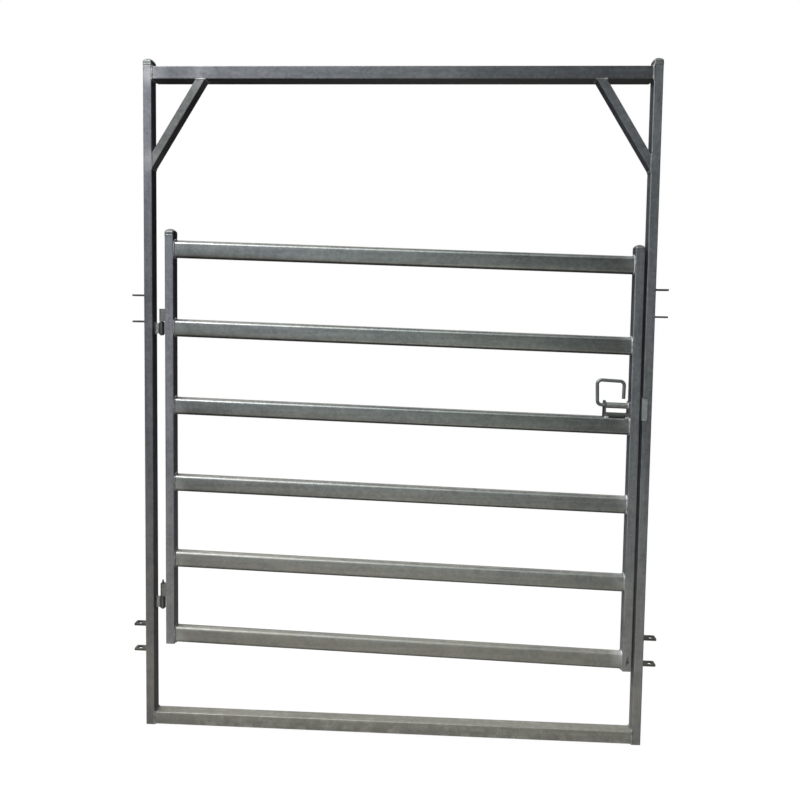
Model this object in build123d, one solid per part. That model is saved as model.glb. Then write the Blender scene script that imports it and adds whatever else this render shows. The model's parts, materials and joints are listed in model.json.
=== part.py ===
"""Cattle yard gate hung in its own steel frame, in millimetres.

The origin is the middle of the hinge post's foot, +X runs to the latch post, +Z up, and the front is -Y.
"""

import math
import os

from build123d import *

# Frame: two posts, a top rail, a sill and two corner braces
frame_width = 2268.5
post_width = 40.0
frame_depth = 50.0
post_height = 3022.0
post_above_rail = 19.0
tube_wall = 2.5
tube_corner = 4.0
foot_plate = 5.0
top_rail_height = 57.0
top_rail_depth = 73.0
sill_height = 57.0
sill_lift = 3.0
brace_width = 37.0
brace_along_rail = 219.0
brace_down_post = 355.0
brace_corner = 3.0

# Pressed caps on posts and stiles
cap_wall = 2.0
cap_overhang = 1.5
cap_fit = 0.2
cap_skirt = 16.0
cap_rise = 17.0
cap_shoulder_rise = 10.0
cap_corner = 5.0
cap_shoulder_share = 0.62
cap_crown_share = 0.22
cap_hollow_taper = 30.0

# Lugs that pin the frame to the next panel
lug_length = 58.0
lug_depth = 36.0
lug_thickness = 8.0
lug_corner = 4.0
lug_hole_radius = 11.0
lug_pair_spacing = 118.5
lug_hole_from_tip = 23.0
left_upper_lugs_below_top = 1090.0
left_lower_lugs_height = 409.0
right_upper_lugs_below_top = 1034.0
right_lower_lugs_height = 425.0

# Leaf: two stiles and six oval rails, the latch side hanging lower
hinge_gap = 55.0
latch_gap = 12.0
stile_width = 40.0
leaf_headroom = 673.0
leaf_footroom = 327.0
leaf_sag = 49.0
oval_height = 80.0
oval_thickness = 40.0
oval_wall = 2.0
lowest_oval_above_stile_foot = 42.0
highest_oval_below_stile_top = 71.0
oval_count = 6
vent_width = 9.0
vent_length = 46.0
vent_offset = 3.0

# Pintle hinges
pintle_radius = 12.0
pintle_length = 61.0
pintle_bevel = 6.0
pin_radius = 7.0
pin_clearance = 0.5
pin_tip_rise = 18.0
pin_tip_radius = 2.5
pin_short = 4.0
hinge_reach = 32.0
eye_radius = 11.0
eye_height = 57.0
eye_seat_gap = 0.3
upper_eye_gap = 3.0
web_thickness = 12.0
web_height = 48.0
web_below_shoulder = 5.0
upper_shoulder_below_stile_top = 401.0
lower_shoulder_above_stile_foot = 216.0

# Slide bolt, its guide and its bracket, all square to the third rail from the top
bolt_radius = 7.5
guide_radius = 13.0
guide_clearance = 0.8
bolt_rise = 49.0
bracket_width = 36.0
bracket_plate = 7.0
bracket_seat = 1.5
bracket_length = 112.0
ear_rise = 21.0
ear_corner = 12.0
bracket_lift = 8.0
foot_length = 18.0
bracket_web = 10.0
guide_overhang = 3.0
weld_fit = 0.15
handle_offset = 139.5
handle_width = 119.0
handle_height = 111.0
handle_droop = 3.0
handle_lean = 6.0
handle_bend = 19.0
handle_end_rise = 31.0
bolt_reach = 26.0
bolt_tip_chamfer = 2.0
bolt_hole_radius = 10.0

# Keeper on the latch post
keeper_plate = 6.0
keeper_height = 97.0
keeper_drop = 9.0
keeper_back = 20.0
keeper_bend_lead = 3.0
keeper_flare = 25.0
keeper_flare_angle = 45.0

# Places worked out from the sizes above
top_rail_bottom = post_height - post_above_rail - top_rail_height
stile_top = top_rail_bottom - leaf_headroom
stile_bottom = sill_lift + sill_height + leaf_footroom
lowest_oval = stile_bottom + lowest_oval_above_stile_foot
oval_pitch = (stile_top - highest_oval_below_stile_top - lowest_oval) / (oval_count - 1)
upper_shoulder_height = stile_top - upper_shoulder_below_stile_top
lower_shoulder_height = stile_bottom + lower_shoulder_above_stile_foot
post_face = post_width / 2
latch_post_middle = frame_width - post_width
latch_post_face = latch_post_middle - post_width / 2
hinge_axis = post_face + hinge_reach
hinge_stile_face = post_face + hinge_gap
hinge_stile_middle = hinge_stile_face + stile_width / 2
latch_stile_outer = latch_post_face - latch_gap
latch_stile_inner = latch_stile_outer - stile_width
latch_stile_middle = latch_stile_outer - stile_width / 2
leaf_slope = math.atan2(leaf_sag, latch_stile_middle - hinge_stile_middle)
oval_start = hinge_stile_face + stile_width
oval_run = latch_stile_inner - oval_start
oval_drop = oval_run * math.tan(leaf_slope)
bolt_rail = oval_count - 3


def box(x0, x1, y0, y1, z0, z1):
    """A plain block between six planes."""
    centre = ((x0 + x1) / 2, (y0 + y1) / 2, (z0 + z1) / 2)
    return Pos(*centre) * Box(x1 - x0, y1 - y0, z1 - z0)


def tube_section(width, depth, wall, corner):
    """A rounded box tube's wall, as a flat ring."""
    outer = RectangleRounded(width, depth, corner)
    return outer - RectangleRounded(width - 2 * wall, depth - 2 * wall, corner - wall)


def upright(x, bottom, top, width, floor):
    """An upright tube with a closed foot when floor is above zero."""
    outer = extrude(RectangleRounded(width, frame_depth, tube_corner), top - bottom)
    hollow = RectangleRounded(width - 2 * tube_wall, frame_depth - 2 * tube_wall, tube_corner - tube_wall)
    inner = Pos(0, 0, floor) * extrude(hollow, top - bottom - floor)
    return Pos(x, 0, bottom) * (outer - inner)


def cross_plane(x, bottom, height, depth):
    """The plane of a cross tube's section, which is flush with the posts at the front."""
    return Plane((x, (depth - frame_depth) / 2, bottom + height / 2), x_dir=(0, 1, 0), z_dir=(1, 0, 0))


def cross_tube(x0, x1, bottom, height, depth):
    """A box tube lying along X."""
    section = cross_plane(x0, bottom, height, depth) * tube_section(depth, height, tube_wall, tube_corner)
    return extrude(section, x1 - x0)


def end_plate(x0, x1, bottom, height, depth):
    """A plate that closes a cross tube's end."""
    section = cross_plane(x0, bottom, height, depth) * RectangleRounded(depth, height, tube_corner)
    return extrude(section, x1 - x0)


def top_rail():
    """The deep top rail with closed ends, as it stands out behind the posts."""
    sizes = top_rail_bottom, top_rail_height, top_rail_depth
    rail = cross_tube(post_face, latch_post_face, *sizes)
    rail = rail + end_plate(post_face, post_face + tube_wall, *sizes)
    return rail + end_plate(latch_post_face - tube_wall, latch_post_face, *sizes)


def brace(side):
    """A mitred corner tube: side +1 leans from the hinge post, -1 from the latch post."""
    face = post_face if side > 0 else latch_post_face
    low = Vector(face, 0, top_rail_bottom - brace_down_post)
    high = Vector(face + side * brace_along_rail, 0, top_rail_bottom)
    run = high - low
    start = low - run
    section = Plane(start, x_dir=(0, 1, 0), z_dir=run.normalized())
    bar = extrude(section * tube_section(frame_depth, brace_width, tube_wall, brace_corner), 3 * run.length)
    far = face + side * frame_width / 2
    keep = box(min(face, far), max(face, far), -frame_depth, frame_depth, 0, top_rail_bottom)
    return bar & keep


def cap_shell(width, depth, corner, skirt, shoulder, crown):
    """A skirted crown in two slopes, solid, with its rim at zero."""
    skirt_block = extrude(RectangleRounded(width, depth, corner), skirt)
    levels = ((skirt, 1), (skirt + shoulder, cap_shoulder_share), (skirt + crown, cap_crown_share))
    rim, bend, peak = (
        Pos(0, 0, level) * RectangleRounded(width * share, depth * share, corner * share) for level, share in levels
    )
    return skirt_block + loft([rim, bend], ruled=True) + loft([bend, peak], ruled=True)


def cap(x, tube_top, width):
    """A pressed cap pushed over an upright's end."""
    over = cap_overhang
    outer = cap_shell(
        width + 2 * over, frame_depth + 2 * over, cap_corner, cap_skirt, cap_shoulder_rise, cap_rise
    )
    socket = extrude(
        RectangleRounded(width + 2 * cap_fit, frame_depth + 2 * cap_fit, tube_corner), cap_skirt - cap_wall
    )
    inside = RectangleRounded(width - 2 * tube_wall, frame_depth - 2 * tube_wall, tube_corner)
    hollow = Pos(0, 0, cap_skirt - cap_wall) * extrude(inside, cap_shoulder_rise, taper=cap_hollow_taper)
    return Pos(x, 0, tube_top - cap_skirt + cap_wall) * (outer - socket - hollow)


def lug(side, middle):
    """A flat pin plate on a post's outer face: side -1 on the hinge post, +1 on the latch post."""
    face = -post_face if side < 0 else latch_post_middle + post_width / 2
    x = face + side * lug_length / 2
    plate = box(x - lug_length / 2, x + lug_length / 2, -lug_depth / 2, lug_depth / 2, 0, lug_thickness)
    outer_edges = plate.edges().filter_by(Axis.Z).group_by(Axis.X)[0 if side < 0 else -1]
    plate = chamfer(outer_edges, lug_corner)
    hole = Pos(face + side * (lug_length - lug_hole_from_tip), 0, lug_thickness / 2)
    plate = plate - hole * Cylinder(lug_hole_radius, 2 * lug_thickness)
    return Pos(0, 0, middle - lug_thickness / 2) * plate


def pintle(shoulder, pin_top, tip):
    """A turned barrel with a bevelled foot and a pin on top, pointed when tip is above zero."""
    low = shoulder - pintle_length
    points = [(0, low), (pintle_radius, low), (pintle_radius, shoulder)]
    points += [(pin_radius, shoulder), (pin_radius, pin_top)]
    if tip > 0:
        points.append((pin_tip_radius, pin_top + tip))
        points.append((0, pin_top + tip))
    else:
        points.append((0, pin_top))
    profile = make_face(Plane.XZ * Polyline(*points, close=True))
    turned = revolve(profile, Axis.Z)
    foot = turned.edges().filter_by(GeomType.CIRCLE).sort_by(Axis.Z)[0]
    return Pos(hinge_axis, 0, 0) * chamfer(foot, pintle_bevel)


def pintle_web(shoulder):
    """The plate between post and barrel, hollowed to the barrel."""
    top = shoulder - web_below_shoulder
    plate = box(post_face, hinge_axis, -web_thickness / 2, web_thickness / 2, top - web_height, top)
    return plate - Pos(hinge_axis, 0, top - web_height / 2) * Cylinder(pintle_radius, 2 * web_height)


def hinge_eye(bottom):
    """A D-shaped block on the stile with the pin's bore."""
    to_stile = hinge_stile_face - hinge_axis
    outline = Circle(eye_radius) + Pos(to_stile / 2, 0) * Rectangle(to_stile, 2 * eye_radius)
    outline = outline - Circle(pin_radius + pin_clearance)
    return Pos(hinge_axis, 0, bottom) * extrude(outline, eye_height)


def oval_height_at(number, x):
    """Middle height of an oval rail, numbered from the bottom, at a place along X."""
    level = lowest_oval + number * oval_pitch
    return level - (x - hinge_stile_middle) * math.tan(leaf_slope)


def oval(number, wall):
    """One sloping oval rail with plumb ends, solid when wall is zero."""
    plane = Plane((oval_start, 0, oval_height_at(number, oval_start)), x_dir=(0, 0, 1), z_dir=(1, 0, 0))
    ring = SlotOverall(oval_height, oval_thickness)
    if wall > 0:
        ring = ring - SlotOverall(oval_height - 2 * wall, oval_thickness - 2 * wall)
    length = math.hypot(oval_run, oval_drop)
    return extrude(plane * ring, length, dir=(oval_run, 0, -oval_drop))


# The latch is drawn square, with zero on the bolt's line at the latch stile, then turned to the rail's slope
bolt_height = oval_height_at(bolt_rail, latch_stile_inner) + oval_height / 2 + bolt_rise
latch_place = Pos(latch_stile_inner, 0, bolt_height) * Rot(0, math.degrees(leaf_slope), 0)
low, high = bolt_height - oval_height, bolt_height + oval_height
stile_side = box(latch_stile_inner, latch_stile_outer, -frame_depth, frame_depth, low, high)


def along(x0, x1, radius):
    """A round bar on the bolt's line."""
    return Pos((x0 + x1) / 2, 0, 0) * Rot(0, 90, 0) * Cylinder(radius, x1 - x0)


def bolt_bracket():
    """A trough on a web and two feet hollowed to the rail's crown, with two ears bored for the guide."""
    low = -bolt_rise - bracket_seat
    floor = -bolt_rise + bracket_lift
    half = bracket_width / 2
    left, right = -bracket_length, guide_overhang
    trough = box(left, right, -half, half, floor, floor + bracket_plate)
    trough = trough + box(left, left + foot_length, -half, half, low, floor)
    trough = trough + box(-foot_length, right, -half, half, low, floor)
    trough = trough + box(left, right, -bracket_web / 2, bracket_web / 2, low, floor)
    for x0, x1 in ((left, left + bracket_plate), (-bracket_plate, right)):
        ear = box(x0, x1, -half, half, floor, ear_rise)
        trough = trough + fillet(ear.edges().filter_by(Axis.X).group_by(Axis.Z)[-1], ear_corner)
    trough = trough - along(-2 * bracket_length, bracket_length, guide_radius + weld_fit)
    return latch_place * trough - stile_side - oval(bolt_rail, 0)


def guide_tube():
    """The tube that the bolt slides in."""
    ring = along(-bracket_length - guide_overhang, guide_overhang, guide_radius)
    ring = ring - along(-2 * bracket_length, bracket_length, bolt_radius + guide_clearance)
    return latch_place * ring - stile_side


def bent_rod(corners):
    """A round rod through corners in the XZ plane: straight runs, and part of a ring at each bend."""
    rod = Part()
    place = corners[0]
    for number in range(1, len(corners)):
        way = (corners[number] - corners[number - 1]).normalized()
        end = corners[number]
        if number < len(corners) - 1:
            onward = (corners[number + 1] - corners[number]).normalized()
            turn = math.radians(way.get_angle(onward))
            end = end - way * handle_bend * math.tan(turn / 2)
        section = Plane(place, x_dir=(0, 1, 0), z_dir=way) * Circle(bolt_radius)
        run = extrude(section, (end - place).length)
        if number == 1:
            run = chamfer(run.faces().sort_by(Axis.X)[-1].edges(), bolt_tip_chamfer)
        rod = rod + run
        if number < len(corners) - 1:
            middle = end + (onward - way * way.dot(onward)).normalized() * handle_bend
            face = Plane(end, x_dir=(0, 1, 0), z_dir=way) * Circle(bolt_radius)
            rod = rod + revolve(face, Axis(middle, way.cross(onward)), math.degrees(turn))
            place = end + (way + onward) * handle_bend * math.tan(turn / 2)
    return rod


def slide_bolt():
    """One rod, bent up, over and down at its left end into an open loop handle."""
    tip = stile_width + latch_gap + bolt_reach
    left = -handle_offset - handle_lean
    right = left + handle_width
    points = [
        (tip, 0),
        (-handle_offset, 0),
        (left, handle_height),
        (right, handle_height - handle_droop),
        (right, handle_end_rise),
    ]
    return latch_place * bent_rod([Vector(x, 0, z) for x, z in points])


def keeper():
    """A bent plate on the post's inner face, bored for the bolt and flared out past the post's front."""
    middle = latch_post_face - keeper_plate / 2
    bend = -frame_depth / 2 - keeper_bend_lead
    level = bolt_height - (latch_post_face - latch_stile_inner) * math.tan(leaf_slope) - keeper_drop
    half = keeper_plate / 2
    leg = box(middle - half, middle + half, bend, keeper_back, -keeper_height / 2, keeper_height / 2)
    corner = Pos(middle, bend, 0) * Cylinder(half, keeper_height)
    wing = box(0, keeper_flare, -half, half, -keeper_height / 2, keeper_height / 2)
    wing = Pos(middle, bend, 0) * Rot(0, 0, -keeper_flare_angle) * wing
    plate = Pos(0, 0, level) * (leg + corner + wing)
    return plate - bolt_hole


bolt_hole = latch_place * along(-tube_wall * 2, stile_width + latch_gap + post_width / 2, bolt_hole_radius)
latch_stile_bottom = stile_bottom - leaf_sag
latch_stile_top = stile_top - leaf_sag
vent_height = oval_height_at(0, latch_stile_middle)
vent_place = Pos(latch_stile_middle + vent_offset, -frame_depth / 2, vent_height) * Rot(90, 90, 0)
vent = vent_place * extrude(SlotOverall(vent_length, vent_width), tube_wall * 2, both=True)
latch_stile = upright(latch_stile_middle, latch_stile_bottom, latch_stile_top, stile_width, 0)
latch_stile = latch_stile - bolt_hole - vent
lower_pin_top = lower_shoulder_height + eye_seat_gap + eye_height
upper_pin_top = upper_shoulder_height + upper_eye_gap + eye_height - pin_short

pieces = {
    "hinge_post": upright(0, 0, post_height, post_width, foot_plate),
    "latch_post": upright(latch_post_middle, 0, post_height, post_width, foot_plate) - bolt_hole,
    "top_rail": top_rail(),
    "sill_rail": cross_tube(post_face, latch_post_face, sill_lift, sill_height, frame_depth),
    "hinge_side_brace": brace(1),
    "latch_side_brace": brace(-1),
    "hinge_post_cap": cap(0, post_height, post_width),
    "latch_post_cap": cap(latch_post_middle, post_height, post_width),
    "upper_pintle": pintle(upper_shoulder_height, upper_pin_top, 0),
    "lower_pintle": pintle(lower_shoulder_height, lower_pin_top, pin_tip_rise),
    "upper_pintle_web": pintle_web(upper_shoulder_height),
    "lower_pintle_web": pintle_web(lower_shoulder_height),
    "latch_keeper": keeper(),
    "hinge_stile": upright(hinge_stile_middle, stile_bottom, stile_top, stile_width, 0),
    "latch_stile": latch_stile,
    "hinge_stile_cap": cap(hinge_stile_middle, stile_top, stile_width),
    "latch_stile_cap": cap(latch_stile_middle, latch_stile_top, stile_width),
    "upper_hinge_eye": hinge_eye(upper_shoulder_height + upper_eye_gap),
    "lower_hinge_eye": hinge_eye(lower_shoulder_height + eye_seat_gap),
    "bolt_bracket": bolt_bracket(),
    "bolt_guide_tube": guide_tube(),
    "slide_bolt": slide_bolt(),
}
for number in range(oval_count):
    pieces[f"gate_rail_{oval_count - number}"] = oval(number, oval_wall)
lug_heights = {
    "left_upper": (-1, post_height - left_upper_lugs_below_top),
    "left_lower": (-1, left_lower_lugs_height),
    "right_upper": (1, post_height - right_upper_lugs_below_top),
    "right_lower": (1, right_lower_lugs_height),
}
for name, (side, middle) in lug_heights.items():
    pieces[f"{name}_lug_top"] = lug(side, middle + lug_pair_spacing / 2)
    pieces[f"{name}_lug_bottom"] = lug(side, middle - lug_pair_spacing / 2)

os.makedirs("parts", exist_ok=True)
for name, piece in pieces.items():
    export_step(piece, f"parts/{name}.step")
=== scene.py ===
"""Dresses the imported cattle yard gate: weld beads, pressed caps, weathered galvanised finishes and a pale studio."""

import json
import math

import bpy
import numpy as np
from bpy.props import FloatProperty, FloatVectorProperty, PointerProperty
from mathutils import Matrix, Vector


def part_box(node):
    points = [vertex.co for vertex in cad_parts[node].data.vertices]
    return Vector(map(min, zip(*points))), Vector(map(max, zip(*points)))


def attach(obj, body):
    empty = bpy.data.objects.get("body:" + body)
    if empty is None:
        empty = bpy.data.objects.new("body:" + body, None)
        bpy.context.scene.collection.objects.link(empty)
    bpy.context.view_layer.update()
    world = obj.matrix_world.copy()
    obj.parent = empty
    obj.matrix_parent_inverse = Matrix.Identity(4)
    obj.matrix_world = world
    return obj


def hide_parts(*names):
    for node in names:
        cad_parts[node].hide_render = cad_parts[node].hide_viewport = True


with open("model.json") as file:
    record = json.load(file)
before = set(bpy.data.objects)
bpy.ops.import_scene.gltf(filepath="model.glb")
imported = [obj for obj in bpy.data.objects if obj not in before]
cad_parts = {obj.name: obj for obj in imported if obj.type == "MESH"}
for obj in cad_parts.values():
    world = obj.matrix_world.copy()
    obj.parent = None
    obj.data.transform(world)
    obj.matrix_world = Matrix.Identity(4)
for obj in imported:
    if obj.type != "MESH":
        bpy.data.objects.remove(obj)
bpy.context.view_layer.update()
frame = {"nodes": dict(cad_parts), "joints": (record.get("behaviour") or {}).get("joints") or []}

bl_info = {
    "name": "Cattle yard gate finish",
    "version": (1, 0, 0),
    "blender": (4, 5, 0),
    "location": "View3D > Sidebar > Gate",
    "description": "Weld beads, pressed caps, galvanised finishes and a studio for a cattle yard gate",
    "category": "Object",
}


# Sizes and colours that a user would change

def length(name, description, default, least=0.001):
    """A size in metres."""
    return FloatProperty(name=name, description=description, default=default, min=least, unit="LENGTH")


def hue(name, description, default):
    """A colour."""
    return FloatVectorProperty(
        name=name, description=description, default=default, size=3, min=0.0, max=1.0, subtype="COLOR")


class GateWeldSizes(bpy.types.PropertyGroup):
    """Sizes of the weld beads."""

    tube_leg: length("Tube bead leg", "How far a bead reaches along each tube at a joint", 0.0055)
    small_leg: length("Small bead leg", "Reach of the beads on lugs, hinges and the keeper", 0.0042)
    ear_leg: length("Ear bead leg", "Reach of the beads where the guide tube goes through its ears", 0.003)
    seat_leg: length("Seat bead leg", "Reach of the beads that fill the gap under the bolt bracket", 0.0075)
    seat_length: length("Seat bead length", "Length of each bead along the bolt bracket's feet", 0.021, 0.005)
    ear_thickness: length("Ear thickness", "Thickness of the bracket's ears", 0.007)
    guide_step: length("Guide step", "How far the guide tube stands out of the left ear", 0.003, 0.0)
    ground_gap: length("Ground gap", "Height under which no bead hangs", 0.0003, 0.0)
    crown: length("Bead crown", "Height of a bead over a straight line between its two toes", 0.0016, 0.0)
    ripple_pitch: length("Ripple pitch", "Distance from one weld ripple to the next", 0.0042)
    ripple_share: FloatProperty(
        name="Ripple share", description="Depth of the ripples as a share of the bead",
        default=0.16, min=0.0, max=0.5, subtype="FACTOR")


class GateRailSizes(bpy.types.PropertyGroup):
    """Shape of the oval rails; their height, thickness and slope come from the part."""

    end_radius: FloatProperty(
        name="End radius", description="Radius of the rail's top and bottom; smaller makes its sides bulge more",
        default=0.0192, min=0.012, max=0.0199, unit="LENGTH")


class GateCapSizes(bpy.types.PropertyGroup):
    """Sizes of the pressed caps; their outer box comes from the part."""

    dome: length("Dome height", "Rise of the dome over the skirt", 0.017)
    lip: length("Lip", "How far the rolled rim stands out from the skirt", 0.0007, 0.0)
    wall: length("Cap wall", "Thickness of the pressed sheet", 0.0013, 0.0005)
    corner: length("Cap corner", "Corner radius of the skirt", 0.006)


class GateFinish(bpy.types.PropertyGroup):
    """Colours and scales of the weathered zinc."""

    zinc_light: hue("Light zinc", "Zinc where the coat is brightest", (0.37, 0.38, 0.38))
    zinc_dark: hue("Dark zinc", "Zinc where the coat has dulled", (0.20, 0.21, 0.215))
    dust: hue("Yard dust", "Dry dust that lies on the lower rails", (0.30, 0.27, 0.22))
    # This colour is also the painted shade on faces that look down, besides soil at the feet, dark streaks and burnt
    # weld specks
    grime_and_shade: hue("Grime", "Dark dirt in corners, under rails and round the feet", (0.045, 0.043, 0.04))
    rust: hue("Rust", "First rust where the zinc is rubbed through", (0.16, 0.075, 0.035))
    weld_silver: hue("Weld silver", "Bright zinc paint brushed over the welds", (0.66, 0.67, 0.68))
    worn_steel: hue("Worn steel", "Dark rubbed steel of the bolt", (0.22, 0.225, 0.23))
    spangle: length("Spangle size", "Width of one zinc crystal", 0.013, 0.002)


class GateStage(bpy.types.PropertyGroup):
    """Where the camera stands and how the studio is lit."""

    eye: FloatVectorProperty(
        name="Camera place", description="Where the camera stands in the part's frame",
        default=(1.2817, -2.8864, 1.9477), size=3, subtype="TRANSLATION", unit="LENGTH")
    turn: FloatProperty(
        name="Camera turn", description="How far the camera looks to the left of square on",
        default=math.radians(2.452), subtype="ANGLE")
    dip: FloatProperty(
        name="Camera dip", description="How far the camera looks down",
        default=math.radians(2.928), subtype="ANGLE")
    roll: FloatProperty(
        name="Camera roll", description="How far the picture leans clockwise",
        default=math.radians(0.865), subtype="ANGLE")
    lens: FloatProperty(
        name="Lens", description="Focal length on a 36 mm wide sensor, in millimetres",
        default=29.09, min=5.0)
    shift_across: FloatProperty(
        name="Shift across", description="Sideways lens shift as a share of the frame", default=-0.0062)
    shift_up: FloatProperty(
        name="Shift up", description="Upward lens shift as a share of the frame", default=-0.0725)
    surround: FloatProperty(
        name="Surround light", description="Strength of the soft light from all round", default=1.0, min=0.0)
    sun: FloatProperty(
        name="Key light", description="Strength of the soft key from the upper left", default=0.6, min=0.0)
    floor: hue("Floor", "Colour of the pale floor", (0.10, 0.10, 0.10))
    floor_glow: FloatProperty(
        name="Floor glow", description="Light that the floor gives off by itself, which keeps it pale",
        default=0.92, min=0.0)
    floor_near: length(
        "Floor near", "Distance from the gate's middle up to which the floor takes shadows", 1.6, 0.0)
    floor_far: length("Floor far", "Distance from the gate's middle from which the floor only glows", 3.4, 0.0)


# Soft lobes of the surround: the middle's direction, the colour and the power that narrows the lobe
surround = [
    ((-0.66, 0.16, 0.74), (2.18, 2.18, 2.15), 22),
    ((-0.40, -0.64, 0.65), (4.75, 4.50, 4.50), 60),
    ((-0.40, -0.74, 0.54), (2.20, 2.10, 2.10), 60),
    ((-0.20, -0.80, 0.56), (0.90, 0.95, 0.90), 60),
    ((-0.02, -0.82, 0.57), (0.70, 0.80, 0.75), 60),
    ((0.05, 0.88, -0.47), (0.24, 0.24, 0.22), 22),
    ((0.97, -0.12, -0.18), (0.55, 0.57, 0.60), 22),
    ((-0.06, -0.67, 0.74), (1.83, 2.04, 1.92), 60),
    ((0.10, 0.63, 0.77), (1.76, 1.81, 1.67), 22),
    ((-0.99, -0.06, -0.12), (1.55, 1.61, 1.69), 22),
    ((-0.23, -0.63, 0.74), (1.67, 1.58, 1.48), 60),
    ((-0.47, -0.05, 0.88), (1.57, 1.47, 1.46), 22),
    ((-0.87, 0.02, 0.50), (1.46, 1.50, 1.52), 22),
    ((-0.51, -0.09, 0.86), (1.33, 1.30, 1.29), 60),
    ((0.01, -0.53, 0.85), (0.90, 1.06, 0.94), 22),
    ((0.03, -0.63, -0.77), (0.87, 0.91, 0.76), 22),
    ((-0.39, 0.41, 0.83), (0.87, 0.87, 0.83), 22),
    ((-0.34, -0.06, 0.94), (0.83, 0.77, 0.77), 60),
    ((-0.92, 0.28, -0.26), (0.62, 0.70, 0.67), 22),
    ((-0.14, -0.83, -0.54), (0.73, 0.61, 0.56), 22),
    ((-0.24, -0.97, 0.08), (0.54, 0.58, 0.59), 22),
    ((-0.67, 0.45, 0.59), (0.57, 0.62, 0.60), 22),
    ((-0.66, -0.12, 0.74), (0.59, 0.59, 0.59), 60),
    ((-0.29, 0.67, 0.68), (0.54, 0.56, 0.47), 22),
    ((-0.03, -0.99, -0.15), (0.49, 0.56, 0.49), 22),
    ((-0.33, -0.91, 0.26), (0.42, 0.44, 0.53), 60),
    ((-0.47, -0.22, 0.86), (0.49, 0.44, 0.44), 60),
    ((-0.98, 0.16, 0.12), (0.37, 0.41, 0.40), 22),
    ((0.59, -0.04, 0.81), (0.33, 0.33, 0.42), 22),
    ((-0.27, -0.75, 0.60), (0.18, 0.43, 0.35), 60),
    ((-0.79, -0.14, 0.60), (0.32, 0.34, 0.36), 60),
    ((0.35, -0.26, 0.90), (0.31, 0.30, 0.36), 22),
    ((0.67, 0.53, -0.52), (0.35, 0.30, 0.33), 22),
    ((-0.95, -0.17, 0.26), (0.26, 0.29, 0.34), 60),
    ((-0.89, -0.16, 0.44), (0.22, 0.25, 0.28), 60),
]
surround_base = (0.004, 0.004, 0.004)

# Where the key's light goes, and how wide the key looks from the gate
key_way = (0.398, 0.697, -0.597)
key_width = math.radians(9)

# How the streaks run: the pattern's scale along each axis
along_x = (2.2, 55.0, 55.0)
along_z = (55.0, 55.0, 2.2)
along_all = (30.0, 30.0, 30.0)

rails = [f"gate_rail_{number}" for number in range(1, 7)]
lugs = [f"{side}_{level}_lug_{end}" for side in ("left", "right") for level in ("upper", "lower")
        for end in ("top", "bottom")]

# Spacing of points along a bead, corner radius of the beads round box tubes, and how near counts as touching
bead_spacing = 0.0011
tube_corner = 0.004
touching = 1e-5

# Tone and roughness of each rail from the top one down: the lower ones are more rubbed and duller
rail_looks = [(0.87, 0.28), (0.87, 0.28), (0.83, 0.29), (0.89, 0.33), (1.01, 0.33), (0.97, 0.34)]

# Strength of the relief in the rails' smooth coat, and roughness of the box tubes
rail_relief = 0.005
tube_rough = 0.40

# Painted reflection: the upper tubes' zinc is tinted blue for the sky that they reflect, and the sill's warm for the
# ground
sky_reflection_tint = (1.0, 0.975, 1.09)
pale_sky_reflection_tint = (0.98, 0.985, 1.07)
ground_reflection_tint = (1.04, 1.0, 0.95)

# How far the silver haze reaches round the frame's corners, a brace's foot and the rails' ends
corner_haze, foot_haze, rail_haze = 0.09, 0.08, 0.075

# A dark oval mark painted on the latch stile's front at the vent: its middle from the stile's lower left, its half
# axis and its half width
vent_middle, vent_axis, vent_half_width = (0.0205, 0.047), (0.0046, 0.025), 0.0055


# Surfaces worked out with numpy

def faced_out(places, quads, tris):
    """A shell with its faces turned outwards: they are flipped when the volume inside comes out below zero."""
    corners = np.concatenate([quads[:, [0, 1, 2]], quads[:, [0, 2, 3]], tris])
    a, b, c = (places[corners[:, n]] for n in range(3))
    if np.einsum("ij,ij->i", a - places.mean(0), np.cross(b - a, c - a)).sum() < 0:
        return places, quads[:, ::-1], tris[:, ::-1]
    return places, quads, tris


def smooth_object(name, places, faces, material):
    """An object at the origin with a smooth mesh of the given points and faces."""
    mesh = bpy.data.meshes.new(name)
    mesh.from_pydata(places.tolist(), [], faces)
    mesh.polygons.foreach_set("use_smooth", np.ones(len(mesh.polygons), bool))
    mesh.materials.append(material)
    mesh.update()
    made = bpy.data.objects.new(name, mesh)
    bpy.context.scene.collection.objects.link(made)
    return made


def place_mesh(name, shells, body, material):
    """One object of several closed shells, smooth, riding on a body."""
    bases = np.cumsum([0] + [len(places) for places, quads, tris in shells])
    places = np.concatenate([places for places, quads, tris in shells])
    quads = np.concatenate([quads + base for base, (_, quads, tris) in zip(bases, shells)])
    tris = np.concatenate([tris + base for base, (_, quads, tris) in zip(bases, shells)])
    piece = smooth_object(name, places, quads.tolist() + tris.tolist(), material)
    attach(piece, body)
    return piece


def grid_faces(rows, columns, closed):
    """Faces of a tube-like grid: quads between rings, and for an open one two fans to poles kept after the grid."""
    i = np.arange(rows if closed else rows - 1)[:, None]
    j = np.arange(columns)[None, :]
    here, after = i * columns, (i + 1) % rows * columns
    quads = np.stack([here + j, here + (j + 1) % columns, after + (j + 1) % columns, after + j], -1).reshape(-1, 4)
    if closed:
        return quads, np.zeros((0, 3), int)
    j = np.arange(columns)
    first = np.stack([(j + 1) % columns, j, np.full(columns, rows * columns)], -1)
    last = np.stack([j, (j + 1) % columns, np.full(columns, rows * columns + 1)], -1)
    last[:, :2] += (rows - 1) * columns
    return quads, np.concatenate([first, last])


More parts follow.
